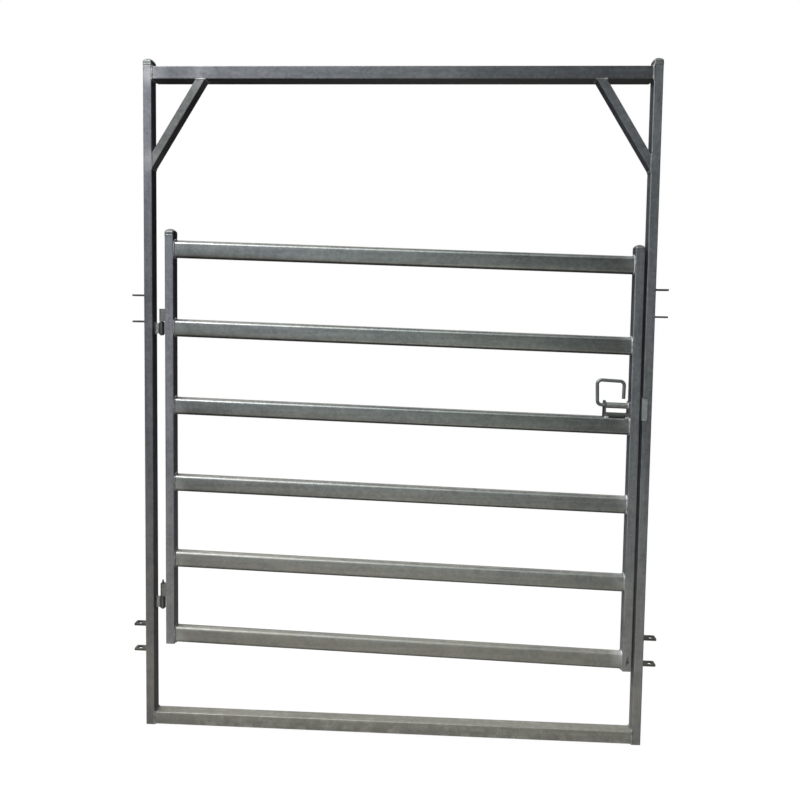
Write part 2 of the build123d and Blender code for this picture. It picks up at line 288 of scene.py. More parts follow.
def bead(path, toe_a, toe_b, out, leg, sizes, closed, seed, crown_share=1.0):
    """A rippled weld bead along a path, as one closed shell.

    The section's face goes straight from the toe at leg times toe_a to the toe at leg times toe_b and swells by
    the crown along out as a parabola; its back goes through a point sunk behind the joint. Every pitch along the
    path the bead sinks a little, in a chevron that lags at the toes, and its width wanders by two slow sines. The
    ends of an open bead run out as a flat-topped arch.
    """
    lag, wave_length, wide_wave, small_wave, sunk_share = 0.55, 0.045, 0.10, 0.05, 0.35
    step = np.linalg.norm(np.roll(path, -1, 0) - path, axis=1)
    if not closed:
        step[-1] = 0
    whole = step.sum()
    run = np.concatenate([[0], np.cumsum(step)[:-1]])
    count = max(1, round(whole / sizes.ripple_pitch))
    face = np.linspace(0, 1, 7)
    phase = (run / whole * count)[:, None] - lag * (2 * face - 1) ** 2
    dimple = 1 - sizes.ripple_share * np.abs(np.cos(np.pi * phase)) ** 3
    turns = max(1, round(whole / wave_length))
    wander = 1 + wide_wave * np.sin(2 * np.pi * (turns * run / whole + seed * 0.37)) \
        + small_wave * np.sin(2 * np.pi * ((2 * turns + 1) * run / whole + seed * 0.61))
    ends = np.ones(len(path)) if closed else np.sqrt(np.clip(1 - (2 * run / whole - 1) ** 6, 0.02, 1))
    width = (leg * wander * ends)[:, None, None]
    swell = (sizes.crown * crown_share * wander * ends)[:, None, None]
    t = face[None, :, None]
    front = width * ((1 - t) * toe_a[:, None] + t * toe_b[:, None]) * dimple[:, :, None] ** 0.5 \
        + swell * (4 * t * (1 - t)) * dimple[:, :, None] * out[:, None]
    sunk = -sunk_share * leg * ends[:, None, None] * out[:, None]
    ring = path[:, None] + np.concatenate([front, sunk], 1)
    places = ring.reshape(-1, 3)
    if not closed:
        places = np.concatenate([places, path[:1], path[-1:]])
    return faced_out(places, *grid_faces(len(path), ring.shape[1], closed))


def unit(vectors):
    """Each row at length one."""
    return vectors / np.linalg.norm(vectors, axis=1, keepdims=True)


def line(start, end, spacing=bead_spacing):
    """Evenly spaced points from start to end."""
    start, end = np.array(start, float), np.array(end, float)
    count = max(6, int(np.linalg.norm(end - start) / spacing))
    return start + np.linspace(0, 1, count)[:, None] * (end - start)


def oval_loop(height, thickness, end_radius, spacing=bead_spacing):
    """Points and outward directions round an oval of four smooth arcs, walked by arc length.

    The end arcs have the given radius. The side arcs' radius makes them touch the end arcs without a kink; lean is
    the tilt of the outline where they meet. The direction turns evenly along each arc.
    """
    half_y, half_z = thickness / 2, height / 2
    side_radius = (half_y ** 2 + half_z ** 2 - 2 * half_z * end_radius) / (2 * (half_y - end_radius))
    lean = math.asin((half_z - end_radius) / (side_radius - end_radius))
    side, end = lean * side_radius, (math.pi - 2 * lean) * end_radius
    marks = np.cumsum([0, side, end, 2 * side, end, side])
    run = np.linspace(0, marks[-1], max(24, int(marks[-1] / spacing)), endpoint=False)
    turn = np.interp(run, marks, [0, lean, math.pi - lean, math.pi + lean, 2 * math.pi - lean, 2 * math.pi])
    normal = np.stack([np.cos(turn), np.sin(turn)], -1)
    on_side = np.abs(normal[:, 1]) < math.sin(lean)
    centre = np.stack([np.where(on_side, (half_y - side_radius) * np.sign(normal[:, 0]), 0),
                       np.where(on_side, 0, (half_z - end_radius) * np.sign(normal[:, 1]))], -1)
    return centre + np.where(on_side, side_radius, end_radius)[:, None] * normal, normal


def oval_rail(low, high, height, end_radius):
    """A sloping oval rail as one closed shell between plumb ends.

    The oval is carried in a straight line from the upper left to the lower right of the rail's box, with two rings
    close together at each end, so that the end's edge stays crisp.
    """
    spacing, edge, inset = 0.0021, 0.0002, 0.02
    loop, _ = oval_loop(height, high[1] - low[1], end_radius, spacing)
    share = np.concatenate([[0, edge], np.linspace(inset, 1 - inset, 25), [1 - edge, 1]])
    middle = np.array([low[0], 0, high[2] - height / 2]) + share[:, None] * np.array(
        [high[0] - low[0], 0, low[2] - high[2] + height])
    ring = middle[:, None] + lift_side(loop)[None]
    places = np.concatenate([ring.reshape(-1, 3), middle[:1], middle[-1:]])
    return faced_out(places, *grid_faces(len(share), len(loop), False))


def box_loop(width, depth, corner, spacing=bead_spacing):
    """Points and outward directions round a rectangle with rounded corners, walked by arc length."""
    flat_w, flat_d, quarter = width - 2 * corner, depth - 2 * corner, math.pi / 2 * corner
    marks = np.cumsum([0, flat_d, quarter, flat_w, quarter, flat_d, quarter, flat_w, quarter])
    s = np.linspace(0, marks[-1], max(32, int(marks[-1] / spacing)), endpoint=False)
    leg = np.clip(np.searchsorted(marks, s, side="right") - 1, 0, 7)
    into = s - marks[leg]
    side = leg // 2
    bend = leg % 2 == 1
    turn = side * math.pi / 2 + np.where(bend, into / corner, 0)
    normal = np.stack([np.cos(turn), np.sin(turn)], -1)
    centres = np.array([[1, 1], [-1, 1], [-1, -1], [1, -1]]) * [flat_w / 2, flat_d / 2]
    starts = np.array([[1, -1], [1, 1], [-1, 1], [-1, -1]]) * [flat_w / 2, flat_d / 2]
    ways = np.array([[0, 1], [-1, 0], [0, -1], [1, 0]])
    straight = starts[side] + ways[side] * np.where(bend, 0, into)[:, None]
    core = np.where(bend[:, None], centres[side], straight)
    return core + corner * normal, normal


def pressed_cap(low, high, tube_width, tube_depth, sizes):
    """A pressed cap as one closed shell: rings of a rounded box section on a profile from the crown to the inside.

    The dome is a quarter ellipse whose ring goes from an ellipse at the crown to the rounded box at the skirt, by
    the square of its share. The skirt drops straight to a rolled lip that swells by a sine, turns under, and the
    inside climbs against the tube and closes flat over its end.
    """
    spacing, rings, pole_gap, lip_start, ceiling_share = 0.0014, 22, 0.06, 0.72, 0.3
    span = high - low
    middle = (low + high) / 2
    box, _ = box_loop(span[0], span[1], sizes.corner, spacing)
    angle = np.arctan2(box[:, 1] / span[1], box[:, 0] / span[0])
    oval = np.stack([np.cos(angle) * span[0], np.sin(angle) * span[1]], -1) / 2
    climb = np.linspace(pole_gap, 1, rings) * math.pi / 2
    dome_share, dome_height = np.sin(climb), high[2] - sizes.dome * (1 - np.cos(climb))
    fall = np.linspace(0, 1, rings)[1:]
    skirt_height = high[2] - sizes.dome - (span[2] - sizes.dome) * fall
    swell = sizes.lip * np.clip(np.sin(np.pi * np.clip((fall - lip_start) / (1 - lip_start), 0, 1)), 0, 1)
    outer_inset = np.concatenate([np.full(rings, sizes.lip), sizes.lip - swell])
    shares = np.concatenate([dome_share, np.ones(len(fall))])
    heights = np.concatenate([dome_height, skirt_height])
    blend = (shares ** 2)[:, None, None]
    trim = 1 - 2 * outer_inset[:, None, None] / span[None, None, :2]
    outer = (blend * box + (1 - blend) * oval) * shares[:, None, None] * trim
    snug = np.array([tube_width, tube_depth]) / span[:2]
    ceiling = high[2] - sizes.dome - sizes.wall
    inner_heights = np.array([low[2], ceiling, ceiling])
    inner = box[None] * snug * np.array([1, 1, ceiling_share])[:, None, None]
    flat = np.concatenate([outer, inner])
    level = np.concatenate([heights, inner_heights])
    ring = np.concatenate([flat + middle[:2], np.broadcast_to(level[:, None, None], (*flat.shape[:2], 1))], -1)
    poles = np.array([[middle[0], middle[1], high[2]], [middle[0], middle[1], ceiling]])
    return faced_out(np.concatenate([ring.reshape(-1, 3), poles]), *grid_faces(len(flat), len(box), False))


def lift(flat, origin, across, up):
    """Points of a flat figure carried to a plane of the part."""
    return np.array(origin) + flat[:, :1] * np.array(across) + flat[:, 1:2] * np.array(up)


def lift_side(flat, origin=(0, 0, 0)):
    """Points or directions of a flat figure carried to a plane that faces sideways."""
    return lift(flat, origin, (0, 1, 0), (0, 0, 1))


def corner_bead(path, face_dir, run_dir, sizes, seed, closed=True, leg=None):
    """A fillet bead in a square corner: one toe along face_dir, the other along run_dir."""
    face_dir = np.broadcast_to(face_dir, path.shape)
    run_dir = np.broadcast_to(run_dir, path.shape)
    out = unit(face_dir + run_dir)
    return bead(path, face_dir, run_dir, out, leg or sizes.small_leg, sizes, closed, seed, crown_share=0.8)


def flush_loop_bead(path, normal, run_dir, sizes, seed):
    """A bead round a tube end that is flush with its neighbour at the front and back.

    Where the tube's side stands square to the neighbour's face the bead is a fillet. Where both are flush the toe on
    the neighbour swings round to lie back along it, a little proud, so the bead is a low cap over the groove. The
    swing follows the square of the part of the side's normal that points to the front or back.
    """
    share = normal[:, 1:2] ** 2
    run_dir = np.broadcast_to(run_dir, path.shape)
    proud = 0.05
    toe_a = unit((1 - share) * normal - share * run_dir + proud * share * normal)
    out = unit(normal + (1 - share) * run_dir)
    return bead(path, toe_a, run_dir, out, sizes.tube_leg, sizes, True, seed, crown_share=0.6)


def box_of(node):
    """A node's lowest and highest corner as arrays."""
    low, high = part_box(node)
    return np.array(low), np.array(high)


def points_of(node):
    """All points of a node's mesh."""
    mesh = frame["nodes"][node].data
    flat = np.zeros(len(mesh.vertices) * 3)
    mesh.vertices.foreach_get("co", flat)
    return flat.reshape(-1, 3)


def bolt_way():
    """The way the bolt slides as it opens: to the left and up the rails' slope."""
    return np.array(frame["joints"][1]["axis"])


def rail_height(low, high):
    """An oval rail's own height: its box less the drop from end to end, which is the bolt's slope."""
    way = bolt_way()
    return high[2] - low[2] - (high[0] - low[0]) * way[2] / -way[0]


# Shader maths

class Value:
    """A number socket of a shader tree; operators on it add Math nodes."""

    def __init__(self, paint, socket):
        self.paint, self.socket = paint, socket

    def math(self, operation, first, second, clamp=False):
        settings = {"operation": operation, "use_clamp": clamp}
        return self.paint.number("ShaderNodeMath", settings, {0: first, 1: second})

    def __add__(self, other):
        return self.math("ADD", self, other)

    def __radd__(self, other):
        return self.math("ADD", other, self)

    def __sub__(self, other):
        return self.math("SUBTRACT", self, other)

    def __rsub__(self, other):
        return self.math("SUBTRACT", other, self)

    def __mul__(self, other):
        return self.math("MULTIPLY", self, other)

    def __rmul__(self, other):
        return self.math("MULTIPLY", other, self)

    def __pow__(self, other):
        return self.math("POWER", self, other)

    def __rpow__(self, other):
        return self.math("POWER", other, self)

    def clipped(self):
        """Held between zero and one."""
        return self.math("ADD", self, 0.0, True)

    def either(self, other):
        """The larger of two."""
        return self.math("MAXIMUM", self, other)

    def over(self, low, high):
        """Zero below low, one above high, eased between; low may be the larger for a falling step."""
        return self.paint.number("ShaderNodeMapRange", {"interpolation_type": "SMOOTHSTEP", "clamp": True},
                                 {0: self, 1: low, 2: high, 3: 0.0, 4: 1.0})


class Paint:
    """A shader tree and the one way that nodes get into it."""

    def __init__(self, tree):
        self.tree = tree
        tree.nodes.clear()

    def add(self, kind, settings=None, inputs=None):
        """A node of a kind, with its settings first and then the values or links of its sockets."""
        node = self.tree.nodes.new(kind)
        for name, setting in (settings or {}).items():
            setattr(node, name, setting)
        for name, given in (inputs or {}).items():
            given = given.socket if isinstance(given, Value) else given
            if isinstance(given, bpy.types.NodeSocket):
                self.tree.links.new(given, node.inputs[name])
            else:
                node.inputs[name].default_value = given
        return node

    def number(self, kind, settings=None, inputs=None, output=0):
        """One output of a new node, ready for maths."""
        return Value(self, self.add(kind, settings, inputs).outputs[output])

    def mix(self, share, first, second):
        """Colour first where share is zero, second where it is one."""
        wide = [c if isinstance(c, bpy.types.NodeSocket) else (*c, 1.0) for c in (first, second)]
        return self.add("ShaderNodeMix", {"data_type": "RGBA"}, {0: share, 6: wide[0], 7: wide[1]}).outputs[2]

    def place(self):
        """The point on the piece, in the part's frame."""
        return self.add("ShaderNodeTexCoord").outputs["Object"]

    def noise(self, place, scale, detail, rough=0.55):
        """Clouds, with scale lumps to the metre."""
        return self.number("ShaderNodeTexNoise", {}, {
            "Vector": place, "Scale": scale, "Detail": detail, "Roughness": rough})

    def cells(self, place, scale):
        """One random number for each crystal."""
        cell = self.add("ShaderNodeTexVoronoi", {"feature": "F1"}, {"Vector": place, "Scale": scale})
        return self.number("ShaderNodeSeparateColor", {}, {0: cell.outputs["Color"]})

    def stretched(self, place, scale):
        """A place scaled along each axis by itself."""
        return self.add("ShaderNodeVectorMath", {"operation": "MULTIPLY"}, {0: place, 1: scale}).outputs[0]


def new_paint(name):
    """A material and its empty shader tree."""
    material = bpy.data.materials.new(name)
    material.use_nodes = True
    return material, Paint(material.node_tree)


def metal_out(paint, colour, rough, metal, relief, strength, depth):
    """Closes a metal's tree: colour, roughness and metal shares, and a bump from the relief."""
    bump = paint.add("ShaderNodeBump", {}, {"Strength": strength, "Distance": depth, "Height": relief})
    shader = paint.add("ShaderNodeBsdfPrincipled", {}, {
        "Base Color": colour, "Roughness": rough.clipped(), "Metallic": metal.clipped(), "Normal": bump.outputs[0]})
    paint.add("ShaderNodeOutputMaterial", {}, {0: shader.outputs[0]})


def zinc_material(name, finish, grain, tone, rough, joints=(), dusty=1.0, rubbed=0.0, below=0.42, coarse=0.22,
                  tint=(1.0, 1.0, 1.0), run=None):
    """Weathered galvanised steel.

    Zinc crystals of two sizes give each patch its own brightness, clouds a few centimetres and a hand wide dull it,
    streaks run along the tube (grain is the pattern's scale along each axis), yard dust thickens towards the ground
    and on upward faces, soil gathers at the feet, painted shade darkens the faces that look down by the share below,
    silver haze lies round the joints, each given by its middle and its reach, and rust specks show where rubbed is
    above zero. Tone scales the zinc's colours; tint scales them too and, where given, is a painted reflection: blue
    for the sky on the upper tubes, warm for the ground on the sill. Coarse is the strength of the coat's relief and
    makes its shine uneven. A run is a dark oval mark painted on the front, given by its middle, its half axis along
    and its half width across, in x and z.
    """
    material, paint = new_paint(name)
    place = paint.place()
    split = paint.add("ShaderNodeSeparateXYZ", {}, {0: place})
    height = Value(paint, split.outputs[2])
    normal = paint.add("ShaderNodeNewGeometry").outputs["Normal"]
    upward = Value(paint, paint.add("ShaderNodeSeparateXYZ", {}, {0: normal}).outputs[2])

    crystal = paint.cells(place, 1 / finish.spangle)
    fine = paint.cells(place, 3.1 / finish.spangle)
    cloud = paint.noise(place, 3.2, 4.0)
    patch = paint.noise(place, 17.0, 4.0, 0.6)
    streak = paint.noise(paint.stretched(place, grain), 1.0, 4.0, 0.6)
    speck = paint.noise(place, 160.0, 2.0)

    bright = (0.18 * crystal + 0.10 * fine + 0.42 * cloud + 0.30 * patch + 0.55 * (streak - 0.5)).clipped()
    dark, light = (tuple(c * tone * t for c, t in zip(zinc, tint)) for zinc in (finish.zinc_dark, finish.zinc_light))
    zinc = paint.mix(bright.over(0.18, 0.86), dark, light)

    low = height.over(1.5, 0.05)
    lying = upward.over(0.15, 0.9)
    dust = dusty * (0.34 * low * patch.over(0.3, 0.7) + 0.25 * low + 0.22 * lying * cloud.over(0.35, 0.7))
    colour = paint.mix(dust.clipped(), zinc, finish.dust)

    silver = None
    for centre, reach in joints:
        away = paint.number("ShaderNodeVectorMath", {"operation": "DISTANCE"}, {0: place, 1: centre}, 1)
        near = (away + 0.05 * (patch - 0.5)).over(reach, reach * 0.25)
        silver = near if silver is None else silver.either(near)
    if silver is not None:
        colour = paint.mix(0.5 * tone * silver * patch.over(0.2, 0.65), colour, finish.weld_silver)

    # Painted shade: faces that look down are darkened towards the grime colour by the share below
    under = upward.over(-0.25, -0.9)
    feet = height.over(0.10, 0.0)
    dirt_and_shade = below * under + 0.5 * feet * patch.over(0.3, 0.6) + 0.35 * streak.over(0.66, 0.80) * cloud.over(0.45, 0.65)
    # A dark oval mark painted on the front, added to the darkening
    if run is not None:
        (x, z), (way_x, way_z), half_width = run
        long = math.hypot(way_x, way_z)
        aside, above = Value(paint, split.outputs[0]) - x, height - z
        reach = (way_x * aside + way_z * above) * (1 / long ** 2)
        across = (way_z * aside - way_x * above) * (1 / (long * half_width))
        dirt_and_shade = dirt_and_shade + 0.8 * (reach ** 2.0 + across ** 2.0 + 0.5 * (patch - 0.5)).over(1.1, 0.35)
    # This darkening is partly painted shade under the tubes and partly soil at the feet, dark streaks and the painted
    # dark mark
    colour = paint.mix(dirt_and_shade.clipped(), colour, finish.grime_and_shade)
    dull = 0.22 * dust + 0.15 * dirt_and_shade
    bare = 0.75 * dust + 0.55 * dirt_and_shade
    if rubbed > 0:
        rust = rubbed * (patch * 0.6 + speck * 0.4).over(0.56, 0.66)
        colour = paint.mix(rust.clipped(), colour, finish.rust)
        dull = dull + 0.3 * rust
        bare = bare + 0.6 * rust

    uneven = 0.5 * coarse
    shine = rough + (0.05 + uneven) * (cloud - 0.5) + uneven * (fine - 0.5) + dull
    relief = 0.5 * crystal + 0.35 * fine + 1.2 * patch + 0.8 * speck + 0.7 * streak
    metal_out(paint, colour, shine, 0.88 - bare, relief, coarse, 0.0012)
    return material


def weld_finish(finish, share=1.0):
    """Brushed zinc paint on the welds: silver with dull brush clouds and burnt specks, once for each brightness."""
    name = f"weld_silver_{round(100 * share)}"
    if bpy.data.materials.get(name):
        return bpy.data.materials[name]
    material, paint = new_paint(name)
    place = paint.place()
    cloud = paint.noise(place, 45.0, 4.0, 0.6)
    speck = paint.noise(place, 320.0, 2.0)
    dull, silver = (tuple(part * share * c for c in finish.weld_silver) for part in (0.42, 1.0))
    colour = paint.mix(cloud.over(0.3, 0.66), dull, silver)
    burnt = speck.over(0.62, 0.72) * cloud.over(0.6, 0.4)
    colour = paint.mix(0.6 * burnt, colour, finish.grime_and_shade)
    metal_out(paint, colour, 0.36 + 0.25 * cloud, 0.85 - 0.5 * burnt, speck + 0.5 * cloud, 0.35, 0.0006)
    return material


def worn_bar_material(name, finish):
    """Dark round bar: draw lines along it, brighter rubbed bands, and rust held in the pits."""
    material, paint = new_paint(name)
    place = paint.place()
    draw = paint.noise(paint.stretched(place, (25.0, 260.0, 60.0)), 1.0, 3.0)
    cloud = paint.noise(place, 30.0, 4.0, 0.6)
    speck = paint.noise(place, 420.0, 2.0)
    rubbed = (0.7 * cloud + 0.3 * draw).over(0.46, 0.66)
    colour = paint.mix(0.75 * rubbed, finish.worn_steel, tuple(0.8 * c for c in finish.zinc_light))
    rust = speck.over(0.60, 0.72) * cloud.over(0.52, 0.36)
    colour = paint.mix(0.7 * rust, colour, finish.rust)
    metal_out(paint, colour, 0.38 - 0.12 * rubbed + 0.3 * rust, 0.9 - 0.7 * rust, speck + cloud + 0.6 * draw,
              0.25, 0.0008)
    return material


def dress(nodes, material):
    """Gives CAD nodes a material in place of their plain one."""
    for node in nodes:
        piece = frame["nodes"][node]
        piece.data.materials.clear()
        piece.data.materials.append(material)


# Operators: one for each group of like pieces, and one for the stage

class GATE_OT_frame_tubes(bpy.types.Operator):
    """Finishes the posts, top rail, sill and braces"""

    bl_idname = "gate.frame_tubes"
    bl_label = "Frame tubes"

    def execute(self, context):
        finish = context.scene.gate_finish
        low, high = box_of("top_rail")
        corner = ((low[0], 0, (low[2] + high[2]) / 2), corner_haze)
        low, high = box_of("hinge_side_brace")
        foot_rise, head_back = 0.035, 0.02
        foot = ((low[0], 0, low[2] + foot_rise), foot_haze)
        head = ((high[0] - head_back, 0, high[2]), corner_haze)
        # The tints on these tubes are painted reflection: blue of the sky on the upper ones, warm of the ground on the
        # sill
        dress(["hinge_post"], zinc_material(
            "hinge_post_zinc", finish, along_z, 0.70, tube_rough, [corner, foot], tint=sky_reflection_tint))
        dress(["latch_post"], zinc_material(
            "latch_post_zinc", finish, along_z, 0.98, tube_rough, tint=pale_sky_reflection_tint))
        dress(["top_rail"], zinc_material(
            "top_rail_zinc", finish, along_x, 0.50, tube_rough, [corner, head], below=0.25, tint=pale_sky_reflection_tint))
        dress(["sill_rail"], zinc_material(
            "sill_zinc", finish, along_x, 1.28, 0.44, dusty=0.55, tint=ground_reflection_tint))
        dress(["hinge_side_brace"], zinc_material(
            "hinge_brace_zinc", finish, along_all, 0.50, tube_rough, [foot, head]))
        dress(["latch_side_brace"], zinc_material(
            "latch_brace_zinc", finish, along_all, 0.78, tube_rough, tint=pale_sky_reflection_tint))
        return {"FINISHED"}


class GATE_OT_leaf_tubes(bpy.types.Operator):
    """Finishes the two stiles and shapes the six oval rails with gently bulging sides in place of their flat ones"""

    bl_idname = "gate.leaf_tubes"
    bl_label = "Leaf tubes"

    def execute(self, context):
        finish = context.scene.gate_finish
        for number, (rail, (tone, rough)) in enumerate(zip(rails, rail_looks), 1):
            low, high = box_of(rail)
            ends = [((x, 0, (low[2] + high[2]) / 2), rail_haze) for x in (low[0], high[0])]
            material = zinc_material(f"oval_zinc_{number}", finish, along_x, tone, rough, ends, coarse=rail_relief)
            shell = oval_rail(low, high, rail_height(low, high), context.scene.gate_rails.end_radius)
            piece = place_mesh(f"oval_{number}", [shell], "leaf", material)
            dress([rail], material)
            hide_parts(rail)
        # The stiles' blue tints are painted reflection of the sky
        dress(["hinge_stile"], zinc_material("hinge_stile_zinc", finish, along_z, 1.09, tube_rough, tint=sky_reflection_tint))
        low, _ = box_of("latch_stile")
        vent_dark_mark = ((low[0] + vent_middle[0], low[2] + vent_middle[1]), vent_axis, vent_half_width)
        dress(["latch_stile"], zinc_material(
            "latch_stile_zinc", finish, along_z, 1.04, tube_rough, tint=pale_sky_reflection_tint, run=vent_dark_mark))
        return {"FINISHED"}


class GATE_OT_caps(bpy.types.Operator):
    """Presses the domed caps of posts and stiles in place of their plain solids"""

    bl_idname = "gate.caps"
    bl_label = "Pressed caps"

    def execute(self, context):
        scene = context.scene
        material = zinc_material("cap_zinc", scene.gate_finish, along_all, 0.8, 0.42, rubbed=0.25)
        for tube, body in (("hinge_post", "frame"), ("latch_post", "frame"), ("hinge_stile", "leaf"),
                           ("latch_stile", "leaf")):
            low, high = box_of(tube)
            shell = pressed_cap(*box_of(f"{tube}_cap"), high[0] - low[0], high[1] - low[1], scene.gate_caps)
            piece = place_mesh(f"{tube}_dome", [shell], body, material)
            dress([f"{tube}_cap"], material)
            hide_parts(f"{tube}_cap")
        return {"FINISHED"}


class GATE_OT_lugs(bpy.types.Operator):
    """Finishes the pin lugs and lays their root welds"""

    bl_idname = "gate.lugs"
    bl_label = "Pin lugs"

    def execute(self, context):
        scene = context.scene
        # The lugs' low tone is painted shade: it darkens them to the shade they sit in
        dress(lugs, zinc_material("lug_zinc", scene.gate_finish, along_all, 0.36, 0.46, dusty=0.3, rubbed=0.5))
        beads, inset = [], 0.003
        for seed, lug in enumerate(lugs):
            low, high = box_of(lug)
            side = -1 if lug.startswith("left") else 1
            root = high[0] if side < 0 else low[0]
            for z, up in ((high[2], 1), (low[2], -1)):
                path = line((root, low[1] + inset, z), (root, high[1] - inset, z))
                beads.append(corner_bead(path, (0, 0, up), (side, 0, 0), scene.gate_welds, seed, False))
        place_mesh("lug_welds", beads, "frame", weld_finish(scene.gate_finish, 0.5))
        return {"FINISHED"}


class GATE_OT_frame_welds(bpy.types.Operator):
    """Lays the weld beads round the ends of the top rail, the sill and the braces"""

    bl_idname = "gate.frame_welds"
    bl_label = "Frame welds"

    def execute(self, context):
        scene = context.scene
        sizes = scene.gate_welds
        beads = []
        post_low, post_high = box_of("hinge_post")
        for seed, tube in enumerate(("top_rail", "sill_rail")):
            low, high = box_of(tube)
            loop, normal = box_loop(post_high[1] - post_low[1], high[2] - low[2], tube_corner)
            outward = lift_side(normal)
            for x, run in ((low[0], 1), (high[0], -1)):
                path = lift_side(loop, (x, 0, (low[2] + high[2]) / 2))
                places, quads, tris = flush_loop_bead(path, outward, (run, 0, 0), sizes, seed + x)
                places[:, 2] = np.maximum(places[:, 2], sizes.ground_gap)
                beads.append((places, quads, tris))
        beads += self.brace_beads("hinge_side_brace", 1, sizes)
        beads += self.brace_beads("latch_side_brace", -1, sizes)
        place_mesh("frame_welds", beads, "frame", weld_finish(scene.gate_finish, 0.6))
        return {"FINISHED"}

    def brace_beads(self, node, lean, sizes):
        """Beads round both mitred ends of a brace, on the rounded box that its points at each end span."""
        foot_seed, head_seed = 3.3, 4.1
        points = points_of(node)
        face = points[:, 0].min() if lean > 0 else points[:, 0].max()
        top = points[:, 2].max()
        foot = points[np.abs(points[:, 0] - face) < touching]
        head = points[np.abs(points[:, 2] - top) < touching]
        along = unit(np.array([[head[:, 0].mean() - face, 0, top - foot[:, 2].mean()]]))[0]
        depth = np.ptp(foot[:, 1])
        loop, normal = box_loop(depth, np.ptp(foot[:, 2]), tube_corner)
        path = lift_side(loop, (face, 0, (foot[:, 2].max() + foot[:, 2].min()) / 2))
        first = flush_loop_bead(path, lift_side(normal), along, sizes, foot_seed)
        loop, normal = box_loop(np.ptp(head[:, 0]), depth, tube_corner)
        flat = (1, 0, 0), (0, 1, 0)
        path = lift(loop, ((head[:, 0].max() + head[:, 0].min()) / 2, 0, top), *flat)
        return [first, flush_loop_bead(path, lift(normal, (0, 0, 0), *flat), -along, sizes, head_seed)]


class GATE_OT_rail_welds(bpy.types.Operator):
    """Lays a weld bead round both ends of each oval rail"""

    bl_idname = "gate.rail_welds"
    bl_label = "Rail welds"

    def execute(self, context):
        scene = context.scene
        sizes = scene.gate_welds
        beads = []
        for seed, rail in enumerate(rails):
            low, high = box_of(rail)
            height = rail_height(low, high)
            loop, normal = oval_loop(height, high[1] - low[1], scene.gate_rails.end_radius)
            outward = lift_side(normal)
            for x, z, run in ((low[0], high[2] - height / 2, 1), (high[0], low[2] + height / 2, -1)):
                path = lift_side(loop, (x, 0, z))
                beads.append(corner_bead(path, outward, (run, 0, 0), sizes, seed + x, leg=sizes.tube_leg))
        place_mesh("rail_welds", beads, "leaf", weld_finish(scene.gate_finish))
        return {"FINISHED"}


class GATE_OT_hinges(bpy.types.Operator):
    """Finishes the pintles, webs and eyes and lays their welds"""

    bl_idname = "gate.hinges"
    bl_label = "Pintle hinges"

    def execute(self, context):
        scene = context.scene
        sizes = scene.gate_welds
        levels = ("upper", "lower")
        # The pintle barrels' low tone is painted shade and the webs' high tone is painted light on the same zinc
        for part, tone in (("pintle", 0.6), ("pintle_web", 1.5), ("hinge_eye", 0.9)):
            dress([f"{level}_{part}" for level in levels],
                  zinc_material(f"{part}_zinc", scene.gate_finish, along_all, tone, 0.42, dusty=0.3, rubbed=0.55))
        on_frame, on_leaf, inset, round_lean = [], [], 0.002, 0.62
        for seed, level in enumerate(levels):
            low, high = box_of(f"{level}_pintle_web")
            on_frame.append(self.root_bead(low, high, low[0], 1, sizes, seed))
            barrel_low, barrel_high = box_of(f"{level}_pintle")
            radius = (barrel_high[1] - barrel_low[1]) / 2
            axis = (barrel_low[0] + barrel_high[0]) / 2
            for y in (low[1], high[1]):
                x = axis - math.sqrt(radius ** 2 - y ** 2)
                path = line((x, y, low[2] + inset), (x, y, high[2] - inset))
                round_face = unit(np.array([[round_lean, np.sign(y), 0]]))
                on_frame.append(corner_bead(path, round_face, (-1, 0, 0), sizes, seed, False))
            low, high = box_of(f"{level}_hinge_eye")
            on_leaf.append(self.root_bead(low, high, high[0], -1, sizes, seed + 2))
        place_mesh("pintle_welds", on_frame, "frame", weld_finish(scene.gate_finish, 0.5))
        place_mesh("eye_welds", on_leaf, "leaf", weld_finish(scene.gate_finish, 0.5))
        return {"FINISHED"}

    def root_bead(self, low, high, x, run, sizes, seed):
        """A bead round the block between two corners where it meets an upright's side."""
        corner = 0.001
        loop, normal = box_loop(high[1] - low[1], high[2] - low[2], corner)
        path = lift_side(loop, (x, 0, (low[2] + high[2]) / 2))
        return corner_bead(path, lift_side(normal), (run, 0, 0), sizes, seed)


